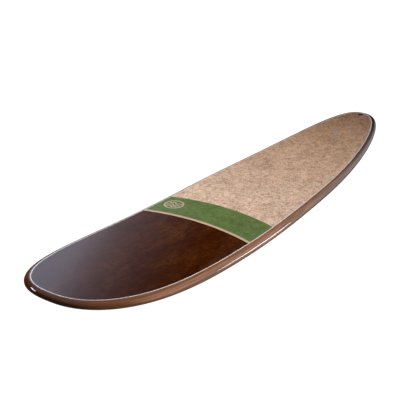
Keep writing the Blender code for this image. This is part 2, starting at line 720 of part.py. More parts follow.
# ---------------------------------------------------------------- cutters and joined shapes
def make_cutters(leash, vent, fin):
    """Every hole, pocket and joined block, by name."""

    def add(obj):
        CUTTERS[obj.name.removeprefix("cut_")] = make_cutter(obj)

    def round_cut(name, radius, low, high, frame, at=(0, 0, 0), axis="Z", steps=TURN_STEPS):
        add(cylinder("cut_" + name, radius, low, high, frame, at, axis, steps, TOOLS))

    def box_cut(name, back, front, width, low, high, frame, at=(0, 0, 0), corner=0.0):
        size = (front - back, width, high - low)
        centre = ((front + back) / 2, 0, (high + low) / 2)
        add(box("cut_" + name, size, centre, frame, at, corner, TOOLS))

    round_cut("leash_rim", LEASH_RIM_RADIUS + GAP, -RIM_POCKET_DEPTH, POCKET_REACH, leash)
    round_cut("leash_block", LEASH_BLOCK_RADIUS + GAP, -LEASH_BLOCK_DEPTH - GAP, POCKET_REACH, leash)
    half = LEASH_PIN_LENGTH / 2 + GAP
    at_pin = (0, 0, -LEASH_PIN_DEPTH)
    round_cut("leash_pin", LEASH_PIN_RADIUS + GAP, -half, half, leash, at_pin, "Y", PIN_STEPS)

    round_cut("vent_rim", VENT_RIM_RADIUS + GAP, -RIM_POCKET_DEPTH, POCKET_REACH, vent)
    round_cut("vent_block", VENT_BLOCK_RADIUS + GAP, -VENT_BLOCK_DEPTH - GAP, POCKET_REACH, vent)
    slot_floor = VENT_HEAD_TOP - VENT_SLOT_DEPTH
    box_cut("vent_screw_slot", -CUT_REACH, CUT_REACH, VENT_SLOT_WIDTH, slot_floor, CUT_REACH, vent)

    half = FIN_SLOT_LENGTH / 2
    box_cut("fin_slot", -half, half, FIN_SLOT_WIDTH, -CUT_REACH, FIN_SLOT_DEPTH, fin)
    box_cut("fin_groove", -half, half, GROOVE_WIDTH, GROOVE_LOW, GROOVE_HIGH, fin)
    front = half - ENTRY_SETBACK
    box_cut("fin_entry", front - ENTRY_LENGTH, front, ENTRY_WIDTH, -CUT_REACH, ENTRY_HIGH, fin)

    half = FIN_BOX_LENGTH / 2 + GAP
    width = FIN_BOX_WIDTH + 2 * GAP
    depth = FIN_BOX_DEPTH + GAP
    box_cut("fin_box", -half, half, width, -CUT_REACH, depth, fin, corner=FIN_BOX_CORNER + GAP)
    half += FIN_BLOCK_MARGIN
    width += 2 * FIN_BLOCK_MARGIN
    depth = FIN_BLOCK_DEPTH + GAP
    box_cut("fin_block", -half, half, width, -CUT_REACH, depth, fin, corner=FIN_BLOCK_CORNER)

    tongue_back = TONGUE_START - TONGUE_OVERLAP
    box_cut("fin_tab", -TAB_HALF_LENGTH, TONGUE_START, TAB_WIDTH, 0.0, TAB_TOP, fin)
    box_cut("fin_tongue", tongue_back, TAB_HALF_LENGTH, TONGUE_WIDTH, TONGUE_LOW, TONGUE_HIGH, fin)
    at_pin = (CROSS_PIN_X, 0, CROSS_PIN_HEIGHT)
    round_cut("cross_pin_hole", CROSS_PIN_RADIUS + GAP, -TAB_WIDTH, TAB_WIDTH, fin, at_pin, "Y", PIN_STEPS)
    at_screw = (FIN_SCREW_X, 0, 0)
    hole = FIN_SCREW_HOLE_RADIUS
    round_cut("fin_screw_hole", hole, 0.0, FIN_SLOT_DEPTH, fin, at_screw, steps=FIN_SCREW_STEPS)
    width = FIN_SCREW_SLOT_WIDTH
    slot_top = FIN_SCREW_HEAD[0] + FIN_SCREW_SLOT_DEPTH
    box_cut("fin_screw_slot", -CUT_REACH, CUT_REACH, width, -CUT_REACH, slot_top, fin, at_screw)


clear_scene()
BOARD = new_collection("stand_up_paddleboard")
TOOLS = new_collection("cutters")
CUTTERS = {}
STATIONS = outline_stations()

leash_frame = frame_on_deck("leash_plug_frame", LEASH_X)
vent_frame = frame_on_deck("vent_frame", VENT_X, VENT_Y, VENT_SINK)
fin_frame = frame_on_bottom("fin_box_frame", FIN_BOX_X)
make_cutters(leash_frame, vent_frame, fin_frame)

make_deck_panels()
make_deck_inner_skin()
make_pinline()
make_rails()
make_bottom_skin()
make_foam_core()
make_stringer()
make_leash_plug(leash_frame)
make_vent(vent_frame)
make_fin_box(fin_frame)
make_fin(fin_frame)
make_fin_fixings(fin_frame)
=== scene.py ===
"""Stand up paddleboard: the fine surfaces, materials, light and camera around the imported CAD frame.

Frame: metres, +X towards the nose, +Y towards the left rail, +Z up, origin on the flat of the hull.
"""
import json
import math

import bmesh
import bpy
from mathutils import Matrix, Vector


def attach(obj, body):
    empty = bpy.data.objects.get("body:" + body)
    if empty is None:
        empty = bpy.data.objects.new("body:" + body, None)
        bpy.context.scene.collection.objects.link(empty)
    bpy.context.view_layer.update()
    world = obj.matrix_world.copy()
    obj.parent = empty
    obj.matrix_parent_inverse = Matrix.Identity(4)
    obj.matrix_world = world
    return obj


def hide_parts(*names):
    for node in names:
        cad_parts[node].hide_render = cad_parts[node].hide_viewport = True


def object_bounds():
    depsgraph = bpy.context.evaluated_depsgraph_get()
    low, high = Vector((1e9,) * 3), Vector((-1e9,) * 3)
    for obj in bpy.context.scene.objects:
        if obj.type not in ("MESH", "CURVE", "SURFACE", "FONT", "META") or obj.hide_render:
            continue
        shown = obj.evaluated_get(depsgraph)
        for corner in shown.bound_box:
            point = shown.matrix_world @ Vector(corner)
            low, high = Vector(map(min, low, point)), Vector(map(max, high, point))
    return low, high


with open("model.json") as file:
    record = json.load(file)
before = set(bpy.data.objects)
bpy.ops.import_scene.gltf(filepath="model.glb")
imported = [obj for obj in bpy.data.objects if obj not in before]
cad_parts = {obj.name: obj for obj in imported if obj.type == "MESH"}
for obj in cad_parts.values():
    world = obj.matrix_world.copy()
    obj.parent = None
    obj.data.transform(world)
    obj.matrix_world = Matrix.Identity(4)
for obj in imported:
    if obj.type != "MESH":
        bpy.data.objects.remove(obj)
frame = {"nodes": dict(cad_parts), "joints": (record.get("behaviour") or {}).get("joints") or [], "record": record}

CAD_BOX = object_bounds()

# ---------------------------------------------------------------- board shape, over the frame's size
LOW, HIGH = CAD_BOX
HALF = (HIGH[0] - LOW[0]) / 2
WIDTH = HIGH[1] - LOW[1]
WIDE_X = 0.500              # the widest station
NOSE_OUTLINE = (3.61, 0.419)    # the two powers of the outline's curve
TAIL_OUTLINE = (1.905, 0.405)
FLAT_FRONT = 0.030
FLAT_BACK = -0.370
NOSE_ROCKER = (0.1555, 2.175)   # rise at the tip, and power
TAIL_ROCKER = (0.1119, 2.199)
THICKNESS = 0.0776
NOSE_THINNING = 0.400       # share of the thickness that is lost at the tip
TAIL_THINNING = 0.532
THINNING_POWER = 2.5
DECK_CROWN = 0.0122
APEX_HEIGHT = 0.513         # height of the rail's outermost line, as a share of the thickness
RAIL_TOP_REACH = 0.032
RAIL_BOTTOM_REACH = 0.0516
PINLINE_INSET = 0.0295
PINLINE_WIDTH = 0.005
PINLINE_COLUMNS = (1.0, 0.9, 0.5, 0.1, 0.0)     # shares of its width
BAND_BULGE = 0.041
BULGE_CENTRE = 0.360
BULGE_REACH = 1.300

SEAM = 0.0001               # hairline left between neighbouring veneers
PANEL_THICK = 0.0014
RAIL_THICK = 0.0024
SKIN_THICK = 0.0013
SKIN_TUCK = 0.001           # the inner skin ends this far in from the pinline's outer edge
LAYER_GAP = 0.0003          # between the deck panels and the inner skin
HULL_THICK = 0.0019

NOSE_PANEL_END = 0.4831
STRIPE_BACK = 0.4631
GREEN_BAND_END = 0.2312

MARK_CENTRE = (0.320, -0.255)   # inlaid emblem on the green band
MARK_RADIUS = 0.054
MARK_LINE = 0.0085
MARK_LIFT = 0.00012
WAVE_HEIGHT = 0.010
WAVE_LEVELS = (-0.36, 0.12, 0.52)   # places of the waves, as shares of the radius
WAVE_LINE = 0.85            # width of a wave's line, as a share of the ring's

# ---------------------------------------------------------------- studio and camera
FLOOR = LOW[2] - 0.002
FLOOR_TONE = 0.25           # the floor's own grey, under its white glow
FLOOR_REACH = 30.0
BACKDROP_RADIUS = 40.0
WHITE = (1, 1, 1)
SKY = (     # height of the direction, from -1 to 1, and colour
    (-1.00, (0.10, 0.10, 0.10)), (-0.05, (0.06, 0.06, 0.06)), (0.10, (0.015, 0.015, 0.02)),
    (0.45, (0.015, 0.015, 0.02)), (0.62, (0.25, 0.25, 0.26)), (1.00, (0.50, 0.50, 0.50)))
SKY_GLOW = (142.0, 10.0)    # azimuth and elevation of a large soft glow beyond the left rail, in degrees
SKY_GLOW_EDGE = (48.0, 14.0)    # degrees from its middle at which it starts, and at which it is full
SKY_GLOW_STRENGTH = 1.20
SIDE_CARD = ((-5.0, -0.6), -3.0, (0.5, 3.2))    # a glowing card to the board's right: x, y and z
SIDE_CARD_COLOUR = (0.66, 0.77, 0.98)
SIDE_CARD_FADE = (          # x and strength; it is dark at both ends
    (-4.20, 0.02), (-3.40, 0.12), (-2.60, 0.34), (-2.10, 0.72), (-1.60, 1.08), (-1.20, 1.08))
CAMERA_PLACE = (3.8135, 2.3963, 2.1095)
CAMERA_AIM = (0.2863, -0.0983, 0.1319)
CAMERA_LENS = 76.73         # mm, on the sensor below
CAMERA_SENSOR = 36.0

# ---------------------------------------------------------------- fittings, in their own frames
LEASH_RIM = 0.018
LEASH_BODY = 0.0155
LEASH_BOWL = 0.013
LEASH_DEPTH = 0.0185
LEASH_BOWL_DEPTH = 0.015
LEASH_PIN = 0.0024
LEASH_PIN_DROP = 0.0058
LEASH_PIN_HALF = 0.0139
FLANGE = 0.004

VENT_RIM = 0.018
VENT_BODY = 0.0145
VENT_DEPTH = 0.014
VENT_SEAT = (0.0115, 0.005)     # radius and depth
VENT_BORE = (0.0063, 0.0115)
VENT_AIR_HOLE = 0.0016
VENT_HEAD = 0.011
VENT_HEAD_TOP = -0.0004
VENT_HEAD_BOTTOM = -0.0028
VENT_SHANK = 0.0059
VENT_THREAD_ROOT = 0.0053
VENT_SHANK_END = -0.0108
VENT_PITCH = 0.00125
VENT_SLOT = (0.0022, 0.0012)    # width and depth

FIN_BOX = (0.270, 0.026, 0.025)
FIN_BOX_CORNER = 0.008
FIN_SLOT = (0.250, 0.0096, 0.020)
FIN_GROOVE = (0.016, 0.007, 0.0119)     # width, and its two heights
FIN_ENTRY = (0.1077, 0.1247, 0.0156, 0.0114)    # back, front, width and height

FIN_HEIGHT = 0.205
FIN_ROOT_CHORD = 0.145
FIN_ROOT_FRONT = 0.055
FIN_SWEEP = 0.150
FIN_SWEEP_POWER = 1.7
FIN_TIP_CHORD = 0.022
FIN_TAPER = (0.9, 0.75)
FIN_THICKNESS = 0.0084
FIN_TIP_THINNESS = 0.25
FOIL_SWELL = 1.9
FOIL_TAPER = 0.85
FOIL_EDGE = 0.06
FIN_ROOT_IN_TAB = 0.003
FIN_SECTIONS = 40
FIN_SECTION_POINTS = 28
FIN_SECTION_BUNCHING = 1.3
TAB_HALF = 0.0925
TAB_WIDTH = 0.009
TAB_TOP = 0.015
TONGUE_START = 0.058
TONGUE_WIDTH = 0.0086
TONGUE_OVERLAP = 0.004
TONGUE = (0.0027, 0.0067)       # its two heights
CROSS_PIN_X = -0.078
CROSS_PIN_HEIGHT = 0.0093
CROSS_PIN_HOLE = 0.0023
SCREW_HOLE = 0.00235
FIN_SCREW_HEAD = 0.004
FIN_SCREW_HEAD_LOW = 0.0002
FIN_SCREW_HEAD_HIGH = 0.0023
FIN_SCREW_SHANK = 0.002
FIN_SCREW_ROOT = 0.0017
FIN_SCREW_TIP = 0.0125
FIN_SCREW_PITCH = 0.0007
FIN_SCREW_SLOT = (0.0012, 0.0011)   # width and depth

# ---------------------------------------------------------------- fineness and tolerances
LONG_PIECE = 0.1            # a piece longer than this takes its place into its mesh
ROW_STEPS = 190             # rows from nose to tail
ROW_GAP = 1e-4              # least distance of a row from the end of its piece
DECK_COLUMNS = 22           # columns from the centreline to the pinline
RAIL_STEPS = 26
SLOPE_STEP = 0.0005         # half the stretch over which the outline's direction is taken
TIP_REACH = 1e-7            # the outline has no direction nearer to its tip than this
FIN_BOX_STEPS = 24
CORNER_STEPS = 10
THREAD_POINTS = 8           # profile points in one pitch
ROUND_STEPS = 96            # round the leash plug, the vent and the emblem's ring
WAVE_STEPS = 48
CUT_REACH = 0.01            # how far a cutter stands out of the surface
MIRROR_MERGE = 0.00002
WELD = 0.000001

# ---------------------------------------------------------------- materials
CHIP_LAYERS = 4
CHIP_TILT = 0.2             # angle of the first layer
CHIP_SEED_STEP = 3.7
CHIP_SUMS = (0.9, 3.1)      # the sums of chip layers that are shown darkest and palest
PORES = (0.60, 0.72)        # the range of noise over which a pore sets in
STEEL_DARK = (0.42, 0.45, 0.50)
STEEL_PALE = (0.62, 0.66, 0.72)
SATIN_DARK = (0.36, 0.42, 0.52)
SATIN_PALE = (0.50, 0.57, 0.68)
BRASS_DARK = (0.55, 0.38, 0.13)
BRASS_PALE = (0.76, 0.57, 0.25)


# ---------------------------------------------------------------- board surfaces
def half_width(x):
    """Half the outline's width at x."""
    if x >= WIDE_X:
        share = (x - WIDE_X) / (HALF - WIDE_X)
        power, root = NOSE_OUTLINE
    else:
        share = (WIDE_X - x) / (HALF + WIDE_X)
        power, root = TAIL_OUTLINE
    return WIDTH / 2 * max(0.0, 1 - min(1.0, share) ** power) ** root


def rocker(x):
    """Height of the hull bottom."""
    if x > FLAT_FRONT:
        rise, power = NOSE_ROCKER
        return rise * ((x - FLAT_FRONT) / (HALF - FLAT_FRONT)) ** power
    if x < FLAT_BACK:
        rise, power = TAIL_ROCKER
        return rise * ((FLAT_BACK - x) / (HALF + FLAT_BACK)) ** power
    return 0.0


def thickness_at(x):
    loss = NOSE_THINNING if x > 0 else TAIL_THINNING
    return THICKNESS * (1 - loss * min(1.0, abs(x) / HALF) ** THINNING_POWER)


def deck_height(x, y):
    thick = thickness_at(x)
    return rocker(x) + thick - DECK_CROWN * thick / THICKNESS * (2 * y / WIDTH) ** 2


def inset_point(x, inset):
    """Plan position at a distance in from the outline, along the outline's normal at x."""
    y = half_width(x)
    if HALF - abs(x) < TIP_REACH:
        return x - math.copysign(inset, x), 0.0
    step = min(SLOPE_STEP, (HALF - abs(x)) / 2)
    run = Vector((2 * step, half_width(x + step) - half_width(x - step))).normalized()
    return x + run.y * inset, y - run.x * inset


def bulge(x):
    """How far back a deck row lies on the centreline, behind its ends."""
    reach = abs(x - BULGE_CENTRE) / BULGE_REACH
    return BAND_BULGE * math.cos(math.pi / 2 * min(1.0, reach)) ** 2


def deck_row(x, inset, drop=0.0):
    """Points across the deck from the centreline to its left edge."""
    edge_x, edge_y = inset_point(x, inset)
    row = []
    for i in range(DECK_COLUMNS + 1):
        share = i / DECK_COLUMNS
        px = edge_x - bulge(edge_x) * (1 - share ** 2)
        py = edge_y * share
        row.append((px, py, deck_height(px, py) - drop))
    return row


def bottom_row(x, inset):
    edge_x, edge_y = inset_point(x, inset)
    shares = [i / DECK_COLUMNS for i in range(DECK_COLUMNS + 1)]
    return [(edge_x, edge_y * share, rocker(edge_x)) for share in shares]


def rail_section(x, angles):
    """Points around the rail's round, from the deck to the bottom."""
    row = []
    for angle in angles:
        reach = RAIL_TOP_REACH if angle >= 0 else RAIL_BOTTOM_REACH
        px, py = inset_point(x, reach * (1 - math.cos(angle)))
        low = rocker(px)
        high = deck_height(px, py)
        apex = low + APEX_HEIGHT * (high - low)
        span = high - apex if angle >= 0 else apex - low
        row.append((px, py, apex + span * math.sin(angle)))
    return row


def rows_between(front, back):
    """Row places from front to back, closer together towards the round tips."""
    turn = [math.pi * i / ROW_STEPS for i in range(ROW_STEPS + 1)]
    places = [HALF * math.cos(t) for t in turn]
    inner = [x for x in places if back + ROW_GAP < x < front - ROW_GAP]
    return [front] + inner + [back]


# ---------------------------------------------------------------- mesh helpers
def loft(rows, ring=False, capped=False, flip=False):
    """Vertices and faces over rows of points; a row of one point closes the surface to a tip."""
    verts, starts = [], []
    for row in rows:
        starts.append(len(verts))
        verts.extend(row)
    faces = []
    for (a, row_a), (b, row_b) in zip(zip(starts, rows), zip(starts[1:], rows[1:])):
        count = max(len(row_a), len(row_b))
        for i in range(count if ring else count - 1):
            j = (i + 1) % count
            if len(row_a) == 1:
                faces.append((a, b + j, b + i))
            elif len(row_b) == 1:
                faces.append((a + i, a + j, b))
            else:
                faces.append((a + i, a + j, b + j, b + i))
    if capped:
        faces.append(tuple(range(starts[0], starts[0] + len(rows[0])))[::-1])
        faces.append(tuple(range(starts[-1], starts[-1] + len(rows[-1]))))
    if flip:
        faces = [face[::-1] for face in faces]
    return verts, faces


def new_object(name, data, place=None):
    obj = bpy.data.objects.new(name, data)
    bpy.context.scene.collection.objects.link(obj)
    if place is not None:
        obj.matrix_world = place
    return obj


def mesh_object(name, verts, faces, place=None):
    mesh = bpy.data.meshes.new(name)
    mesh.from_pydata([tuple(v) for v in verts], [], faces)
    mesh.update()
    return new_object(name, mesh, place)


def bmesh_object(name, shape, place):
    mesh = bpy.data.meshes.new(name)
    shape.to_mesh(mesh)
    shape.free()
    return new_object(name, mesh, place)


def mirror(obj):
    both = obj.modifiers.new("both_sides", "MIRROR")
    both.use_axis = (False, True, False)
    both.use_clip = True
    both.merge_threshold = MIRROR_MERGE


def thicken(obj, thickness):
    """Gives a surface its thickness, behind its faces."""
    solid = obj.modifiers.new("thickness", "SOLIDIFY")
    solid.thickness = thickness
    solid.offset = -1.0


def boolean(obj, other, operation="DIFFERENCE"):
    cut = obj.modifiers.new(operation.lower(), "BOOLEAN")
    cut.operation = operation
    cut.solver = "EXACT"
    cut.object = other


def apply_modifiers(obj):
    """Leaves the object with the mesh that its modifiers make."""
    bpy.context.view_layer.update()
    evaluated = obj.evaluated_get(bpy.context.evaluated_depsgraph_get())
    mesh = bpy.data.meshes.new_from_object(evaluated)
    obj.modifiers.clear()
    old = obj.data
    obj.data = mesh
    bpy.data.meshes.remove(old)


def cutter(obj):
    CUTTERS.append(obj)
    return obj


def drop_cutters():
    for obj in CUTTERS:
        bpy.data.objects.remove(obj)
    CUTTERS.clear()


def show(obj, body, material, replaced=(), sharp_angle=35.0):
    """Applies the modifiers and gives a piece its shading, material, body and the CAD node it stands for."""
    apply_modifiers(obj)
    if max(obj.dimensions) > LONG_PIECE:
        obj.data.transform(obj.matrix_world)
        obj.matrix_world = Matrix()
    obj.data.materials.clear()
    obj.data.materials.append(MATERIAL[material])
    obj.data.shade_smooth()
    obj.data.set_sharp_from_angle(angle=math.radians(sharp_angle))
    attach(obj, body)
    if replaced:
        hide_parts(*replaced)


def turned(name, profile, place, closed=False, steps=64):
    """A profile of (radius, height) turned about the local Z axis."""
    rows = []
    for i in range(steps):
        turn = math.tau * i / steps
        rows.append([(r * math.cos(turn), r * math.sin(turn), z) for r, z in profile])
    count = len(profile)
    verts = [v for row in rows for v in row]
    faces = []
    for i in range(steps):
        a, b = i * count, (i + 1) % steps * count
        for j in range(count if closed else count - 1):
            k = (j + 1) % count
            faces.append((a + j, a + k, b + k, b + j))
    obj = mesh_object(name, verts, faces, place)
    clean = bmesh.new()
    clean.from_mesh(obj.data)
    bmesh.ops.remove_doubles(clean, verts=clean.verts, dist=WELD)
    bmesh.ops.recalc_face_normals(clean, faces=clean.faces)
    clean.to_mesh(obj.data)
    clean.free()
    return obj


def cylinder(name, radius, length, place, steps=48):
    shape = bmesh.new()
    bmesh.ops.create_cone(shape, cap_ends=True, segments=steps, radius1=radius, radius2=radius, depth=length)
    return bmesh_object(name, shape, place)


def block(name, size, low, high, place, corner=0.0, middle=0.0):
    """A box of size (length, width) from height low to high; corner rounds its upright edges."""
    shape = bmesh.new()
    bmesh.ops.create_cube(shape, size=1.0)
    for vert in shape.verts:
        x, y, z = vert.co
        vert.co = (middle + x * size[0], y * size[1], (low + high) / 2 + z * (high - low))
    if corner:
        upright = [e for e in shape.edges if abs(e.verts[0].co.z - e.verts[1].co.z) > (high - low) / 2]
        bmesh.ops.bevel(shape, geom=upright, offset=corner, segments=CORNER_STEPS, profile=0.5,
                        affect="EDGES")
    return bmesh_object(name, shape, place)


def arc(centre, radius, start, end, steps):
    """Points of (radius, height) along an arc, from one angle to another in degrees."""
    points = []
    for i in range(steps + 1):
        turn = math.radians(start + (end - start) * i / steps)
        points.append((centre[0] + radius * math.cos(turn), centre[1] + radius * math.sin(turn)))
    return points


# ---------------------------------------------------------------- local frames of the fittings
def mount(name):
    return next(m for m in frame["record"]["mounts"] if m["name"] == name)


def joint(name):
    return next(j for j in frame["joints"] if j["name"] == name)


def local_frame(source, flip=1, on_centreline=True):
    """A matrix at a mount or joint: Z is its axis, turned round if flip is -1, and Y is the board's."""
    up = (flip * Vector(source["axis"])).normalized()
    side = Vector((0, 1, 0))
    ahead = side.cross(up).normalized()
    matrix = Matrix((ahead, side, up)).transposed().to_4x4()
    x, y, z = source["pos_m"]
    matrix.translation = (x, 0.0 if on_centreline else y, z)
    return matrix


# ---------------------------------------------------------------- node helpers
class Graph:
    """A node tree with the shader at its end, and short calls that add nodes before it."""

    def __init__(self, tree, end):
        self.tree = tree
        self.end = tree.nodes[end]

    def add(self, kind, inputs=(), **settings):
        node = self.tree.nodes.new(kind)
        for key, value in settings.items():
            setattr(node, key, value)
        for key, value in dict(inputs).items():
            if isinstance(value, bpy.types.NodeSocket):
                self.tree.links.new(value, node.inputs[key])
            else:
                node.inputs[key].default_value = value
        return node

    def link(self, socket, name):
        self.tree.links.new(socket, self.end.inputs[name])

    def place(self, scale=(1, 1, 1), turn=0.0, shift=0.0, source="Object"):
        """Coordinates, turned about Z and shifted, and then stretched."""
        start = self.add("ShaderNodeTexCoord").outputs[source]
        moves = {"Vector": start, "Rotation": (0, 0, turn), "Location": (shift, shift, 0)}
        moved = self.add("ShaderNodeMapping", moves).outputs[0]
        return self.add("ShaderNodeMapping", {"Vector": moved, "Scale": scale}).outputs[0]

    def along(self):
        """Position along X."""
        return self.add("ShaderNodeSeparateXYZ", {"Vector": self.place()}).outputs["X"]

    def noise(self, vector, scale, detail=2.0, rough=0.5, bend=0.0):
        inputs = {"Vector": vector, "Scale": scale, "Detail": detail, "Roughness": rough, "Distortion": bend}
        return self.add("ShaderNodeTexNoise", inputs).outputs["Fac"]

    def ramp(self, factor, stops):
        node = self.add("ShaderNodeValToRGB", {"Fac": factor})
        points = node.color_ramp.elements
        while len(points) < len(stops):
            points.new(0.5)
        for point, (position, colour) in zip(points, stops):
            point.position = position
            point.color = (*colour, 1.0)
        return node.outputs["Color"]

    def level(self, factor, low, high, bottom=0.0, top=1.0):
        inputs = {"Value": factor, "From Min": low, "From Max": high, "To Min": bottom, "To Max": top}
        return self.add("ShaderNodeMapRange", inputs).outputs[0]

    def maths(self, operation, a, b):
        return self.add("ShaderNodeMath", {0: a, 1: b}, operation=operation).outputs[0]

    def mix(self, factor, a, b, blend="MIX"):
        if not isinstance(b, bpy.types.NodeSocket):
            b = (*b, 1.0)
        inputs = {0: factor, 6: a, 7: b}
        return self.add("ShaderNodeMix", inputs, data_type="RGBA", blend_type=blend).outputs[2]

    def shade(self, colour, factor, low, high):
        """The colour times a grey that runs from low to high as the factor goes from 0.3 to 0.7."""
        half = self.level(factor, 0.3, 0.7, low / 2, high / 2)
        grey = self.ramp(half, ((0.0, (0, 0, 0)), (1.0, (2, 2, 2))))
        return self.mix(1.0, colour, grey, "MULTIPLY")


class Material(Graph):
    """A material with a Principled shader."""

    def __init__(self, name, **values):
        self.material = bpy.data.materials.new(name)
        self.material.use_nodes = True
        super().__init__(self.material.node_tree, "Principled BSDF")
        for socket, value in values.items():
            self.end.inputs[socket.replace("_", " ")].default_value = value

    def tones(self, factor, first, second, low=0.3, high=0.7):
        """A base colour that runs from one tone to another as the factor goes from low to high."""
        self.link(self.ramp(factor, ((low, first), (high, second))), "Base Color")

    def bump(self, height, strength, distance):
        inputs = {"Height": height, "Strength": strength, "Distance": distance}
        self.link(self.add("ShaderNodeBump", inputs).outputs[0], "Normal")


def varnished(name, roughness=0.45):
    """A material under a clear, smooth coat, which takes all of the gloss."""
    coat = {"Coat_Weight": 1.0, "Coat_Roughness": 0.05, "Coat_IOR": 1.5}
    return Material(name, Roughness=roughness, Specular_IOR_Level=0.0, **coat)


# ---------------------------------------------------------------- materials
def brown_veneer():
    """Dark root veneer: soft mottles with a faint run along the board."""
    g = varnished("brown_veneer")
    mottle = g.noise(g.place((9.0, 22.0, 1.0)), 2.2, 5.0, 0.65, 1.2)
    cloud = g.noise(g.place((1.6, 5.0, 1.0)), 1.6, 3.0, 0.55, 0.6)
    streaks = g.noise(g.place((5.0, 75.0, 1.0)), 3.0, 3.0, 0.55, 0.5)
    pores = g.noise(g.place((20.0, 520.0, 1.0)), 1.0, 2.0, 0.6)
    figure = g.maths("ADD", g.maths("MULTIPLY", mottle, 0.6), g.maths("MULTIPLY", cloud, 0.4))
    base = g.ramp(figure, ((0.34, (0.032, 0.0056, 0.0008)), (0.50, (0.056, 0.0122, 0.0018)),
                           (0.66, (0.105, 0.0300, 0.0050))))
    base = g.shade(base, streaks, 0.84, 1.16)
    dark = g.level(pores, *PORES, 0.0, 0.4)
    g.link(g.mix(dark, base, (0.016, 0.0030, 0.0008)), "Base Color")
    g.bump(pores, 0.06, 0.0004)
    return g.material


def chips(g, angle, length, width, seed):
    """Random tones of straight chips that lie at one angle, 0 to 1."""
    spot = g.place((1 / length, 1 / width, 1 / length), angle, seed)
    cell = g.add("ShaderNodeTexVoronoi", {"Vector": spot, "Scale": 1.0}, voronoi_dimensions="2D")
    return g.add("ShaderNodeSeparateColor", {"Color": cell.outputs["Color"]}).outputs[0]


def crossed_chips(g, length, width, seed, operation="ADD"):
    """Layers of chips at different angles: their sum, or the palest one (MAXIMUM)."""
    shown = chips(g, CHIP_TILT, length, width, seed)
    for i in range(1, CHIP_LAYERS):
        angle = math.pi * i / CHIP_LAYERS + CHIP_TILT
        shown = g.maths(operation, shown, chips(g, angle, length, width, seed + CHIP_SEED_STEP * i))
    return shown


def coco_mat():
    """Pressed fibre: overlapping straw-coloured chips and fine pale hairs; darker and browner towards the tail,
    partly painted shade for the light falling off there and partly the mat's own warmer tone.
    """
    g = varnished("coco_mat", 0.5)
    flakes = g.level(crossed_chips(g, 0.024, 0.0062, 1.3), *CHIP_SUMS)
    hairs = crossed_chips(g, 0.030, 0.0026, 9.4, "MAXIMUM")
    cloud = g.noise(g.place((1.0, 1.8, 1.0)), 6.0, 3.0, 0.6)
    base = g.ramp(flakes, ((0.00, (0.45, 0.260, 0.160)), (0.25, (0.59, 0.380, 0.260)),
                           (0.50, (0.71, 0.490, 0.360)), (0.75, (0.81, 0.585, 0.450)),
                           (1.00, (0.90, 0.680, 0.545))))
    base = g.mix(g.level(hairs, 0.86, 1.00, 0.0, 0.45), base, (0.96, 0.755, 0.610))
    base = g.shade(base, cloud, 0.86, 1.10)
    # darker and browner towards the tail: partly painted shade where the light falls off, partly a warmer tone of
    # the mat
    share = g.level(g.along(), -1.60, 0.0)
    tail_tone_and_shade = g.ramp(share, ((0.00, (0.42, 0.290, 0.205)), (0.22, (0.74, 0.620, 0.505)),
                          (0.45, (0.93, 0.835, 0.725)), (1.00, (1.04, 1.030, 1.020))))
    g.link(g.mix(1.0, base, tail_tone_and_shade, "MULTIPLY"), "Base Color")
    g.bump(hairs, 0.10, 0.0003)
    return g.material


def green_cloth():
    """Dyed fibre under the varnish: wider chips, closer in tone."""
    g = varnished("green_cloth", 0.5)
    flakes = g.level(crossed_chips(g, 0.030, 0.009, 2.2), *CHIP_SUMS)
    cloud = g.noise(g.place(), 9.0, 3.0, 0.6)
    base = g.ramp(flakes, ((0.00, (0.100, 0.150, 0.045)), (0.30, (0.122, 0.180, 0.055)),
                           (0.60, (0.137, 0.198, 0.062)), (1.00, (0.156, 0.222, 0.076))))
    g.link(g.shade(base, cloud, 0.92, 1.14), "Base Color")
    g.bump(flakes, 0.05, 0.0003)
    return g.material


def cream_inlay():
    g = varnished("cream_inlay", 0.45)
    grain = g.noise(g.place((90.0, 5.0, 1.0)), 4.0, 3.0, 0.6)
    g.tones(grain, (0.60, 0.415, 0.285), (0.74, 0.540, 0.395))
    return g.material


def white_line():
    g = varnished("white_line", 0.35)
    grain = g.noise(g.place(), 60.0, 2.0, 0.5)
    g.tones(grain, (0.72, 0.74, 0.77), (0.84, 0.86, 0.89))
    return g.material


def rail_wood():
    """Grain that runs round the board along the rail, by the rail's own coordinates; darker at both ends, a
    painted shade for the light falling off towards the nose and the tail.
    """
    g = varnished("rail_wood")
    grain = g.noise(g.place((3.0, 130.0, 1.0), source="UV"), 3.0, 4.0, 0.6, 0.5)
    bands = g.noise(g.place((1.2, 45.0, 1.0), source="UV"), 2.0, 2.0, 0.5, 0.6)
    pores = g.noise(g.place((14.0, 700.0, 1.0), source="UV"), 1.0, 2.0, 0.6)
    base = g.ramp(bands, ((0.30, (0.15, 0.050, 0.016)), (0.52, (0.24, 0.090, 0.031)),
                          (0.74, (0.36, 0.155, 0.062))))
    base = g.shade(base, grain, 0.55, 1.45)
    base = g.mix(g.level(pores, *PORES, 0.0, 0.5), base, (0.035, 0.012, 0.005))
    # painted shade: the wood is darkened towards the nose and the tail, where the light falls off
    share = g.level(g.along(), -1.6, 1.6)
    ends = g.ramp(share, ((0.00, (0.16, 0.12, 0.10)), (0.20, (0.42, 0.38, 0.36)), (0.46, (0.90, 0.90, 0.90)),
                          (0.60, (1.00, 1.00, 1.00)), (0.90, (1.00, 1.00, 1.00)), (0.965, (0.80, 0.72, 0.64)),
                          (1.00, (0.44, 0.33, 0.24))))
    g.link(g.mix(1.0, base, ends, "MULTIPLY"), "Base Color")
    g.bump(pores, 0.06, 0.0004)
    return g.material


